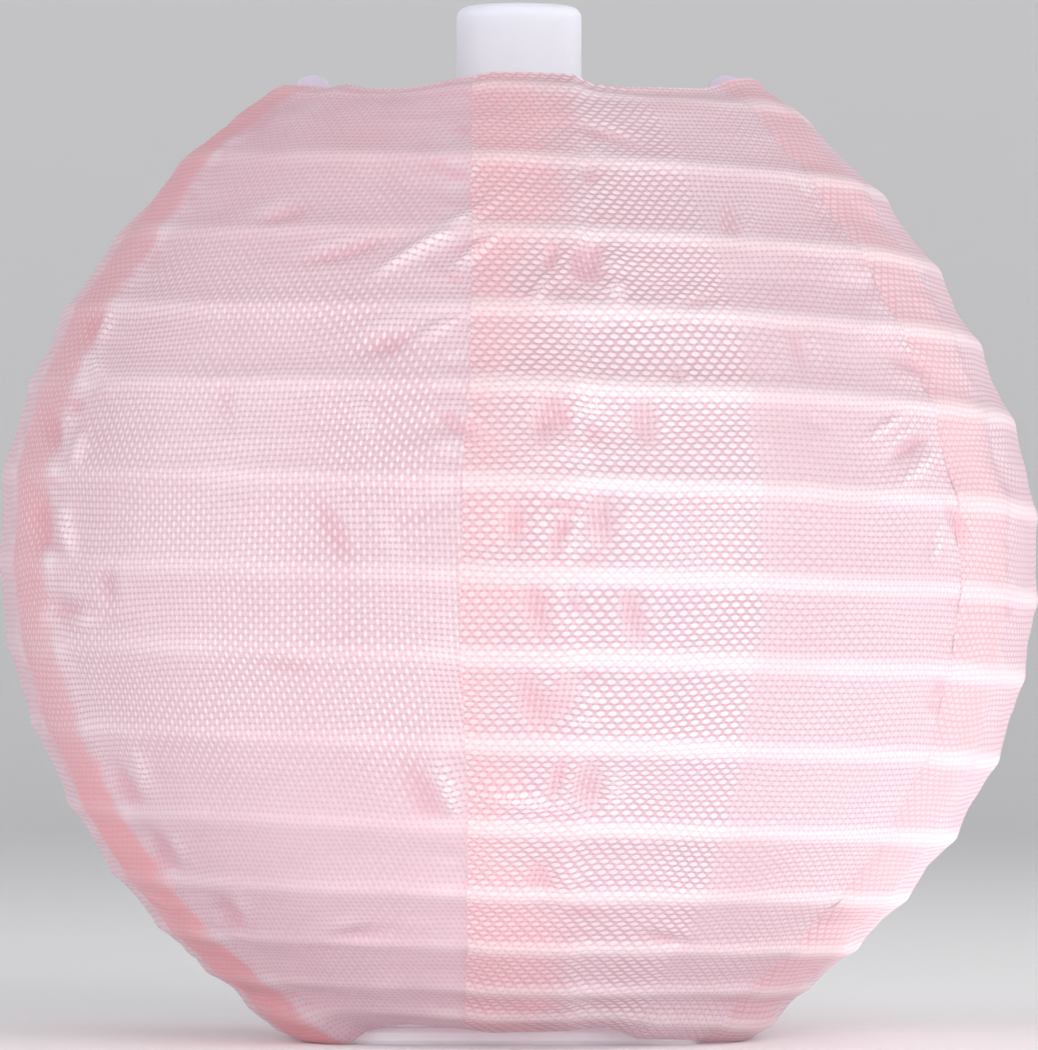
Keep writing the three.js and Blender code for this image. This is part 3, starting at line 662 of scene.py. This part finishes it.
# ------------------------------------------------------------------ light capsule
sleeve = [(4.1, 61.6), (4.45, 61.6), (4.57, 61.66), (4.6, 61.8)]
sleeve += [(4.6, z) for z in (64, 68, 72, 74.9)]
sleeve += [(4.6 - 0.85 + 0.85 * math.cos(t), 75.0 + 0.85 * math.sin(t)) for t in np.linspace(0.12, math.pi / 2, 10)]
sleeve += [(2.6, 75.85), (1.2, 75.85), (0, 75.85)]
inside = [(0, 74.95), (3.5, 74.95), (3.9, 74.85), (4.1, 74.6), (4.1, 70), (4.1, 65)]
cap = lathe("capsule_sleeve", sleeve + inside, 96, MILKY, closed=True)
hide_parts("lamp_sleeve")
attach(cap, "lamp_cap")

# ------------------------------------------------------------------ the CAD pieces that show as they are
finish = {
    "foot_plate": (LIT_FOOT_PLASTIC, 0.18), "leg_left": (SHADED_FRAME_PLASTIC, 0.5), "leg_right": (SHADED_FRAME_PLASTIC, 0.5), "lamp_bridge": (SHADED_FRAME_PLASTIC, 0.2),
    "lamp_plug": (MILKY, 0.08), "seal_ring": (RUBBER, 0), "button_cell_1": (STEEL, 0), "button_cell_2": (STEEL, 0), "button_cell_3": (STEEL, 0),
    "contact_spring": (STEEL, 0), "side_contact": (BRASS, 0), "led": (EPOXY, 0), "led_lead_short": (STEEL, 0), "led_lead_long": (STEEL, 0),
}
for name, (mat, bevel) in finish.items():
    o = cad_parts[name]
    o.data.materials.clear()
    o.data.materials.append(mat)
    w = o.modifiers.new("weld", "WELD")
    w.merge_threshold = 1e-6
    if bevel:
        b = o.modifiers.new("soft_edges", "BEVEL")
        b.width = bevel * MM
        b.segments = 4
        b.limit_method = "ANGLE"
        b.angle_limit = math.radians(35)
        b.harden_normals = False

# ------------------------------------------------------------------ stage: floor, sweep, lights, camera
STAGE, _t = new_material("stage_paper")
_g = Graph(_t)
_p = _g.node("ShaderNodeBsdfPrincipled")
_n = _g.noise(_g.node("ShaderNodeTexCoord").outputs["Object"], 6.0, 4.0)
_t.links.new(_g.mix(_n, (0.88, 0.88, 0.885, 1), (0.91, 0.91, 0.915, 1)), _p.inputs["Base Color"])
_p.inputs["Roughness"].default_value = 0.8
_t.links.new(_p.outputs[0], _g.node("ShaderNodeOutputMaterial").inputs[0])
prof = [(-1.6, 0), (0.9, 0)] + [(0.9 + 0.5 * math.sin(t), 0.5 - 0.5 * math.cos(t)) for t in np.linspace(0.1, math.pi / 2, 14)] + [(1.4, 2.6)]
verts = [(x, y, z) for y, z in prof for x in (-2.2, 2.2)]
floor = mesh_object("floor_sweep", verts, [(2 * k, 2 * k + 1, 2 * k + 3, 2 * k + 2) for k in range(len(prof) - 1)], STAGE)


def softbox(name, azimuth, elevation, distance, width, height, power, colour=(1, 1, 1), target=(0, 0, 0.036)):
    d = bpy.data.lights.new(name, "AREA")
    d.shape, d.size, d.size_y, d.energy, d.color = "RECTANGLE", width, height, power, colour
    o = bpy.data.objects.new(name, d)
    az, el = math.radians(azimuth), math.radians(elevation)
    o.location = Vector(target) + distance * Vector((math.sin(az) * math.cos(el), -math.cos(az) * math.cos(el), math.sin(el)))
    o.rotation_euler = (Vector(target) - o.location).to_track_quat("-Z", "Y").to_euler()
    bpy.context.scene.collection.objects.link(o)
    return o


softbox("key_softbox", 29, 1, 0.55, 0.44, 0.75, 4.1, (1, 0.985, 0.98))
softbox("left_softbox", -71, 2, 0.62, 0.55, 0.75, 3.2, (1, 0.985, 1))
softbox("rim_softbox", 112, 2, 0.5, 0.4, 0.5, 1.15)
softbox("top_softbox", 10, 78, 0.6, 0.6, 0.6, 0.42)

# two low cards lying on the floor outside the picture throw soft light up under the shade
for name, x, y, w, d, power in (("card_front", 0.045, -0.085, 0.21, 0.11, 0.046), ("card_right", 0.078, 0.02, 0.10, 0.10, 0.036)):
    card = softbox(name, 0, 0, 0.1, w, d, power, (1, 0.99, 0.99))
    card.location, card.rotation_euler = (x, y, 0.0015), (math.pi, 0, 0)
    card.visible_camera = False

world = bpy.data.worlds.new("studio")
bpy.context.scene.world = world
world.use_nodes = True
bg = world.node_tree.nodes["Background"]
bg.inputs[0].default_value = (0.93, 0.935, 0.95, 1)
_w = Graph(world.node_tree)
_up = _w.node("ShaderNodeSeparateXYZ")
world.node_tree.links.new(_w.node("ShaderNodeTexCoord").outputs["Generated"], _up.inputs[0])
_w.wire(_w.ramp(_up.outputs[2], 0.0, 1.0, 0.86, 0.26), bg.inputs[1])  # brightest at the horizon, dimmer overhead

cam = bpy.data.cameras.new("camera")
cam.sensor_fit, cam.sensor_width = "HORIZONTAL", 36.0
cam.lens = 7752 / 1038 * 36.0
cam.clip_start = 0.02
camera = bpy.data.objects.new("camera", cam)
camera.location = (0, -0.570, 0.0253)
camera.rotation_euler = (math.radians(90) + math.atan2(0.0377 - 0.0253, 0.570), 0, 0)
bpy.context.scene.collection.objects.link(camera)
bpy.context.scene.camera = camera
bpy.context.scene.view_settings.view_transform = "Standard"
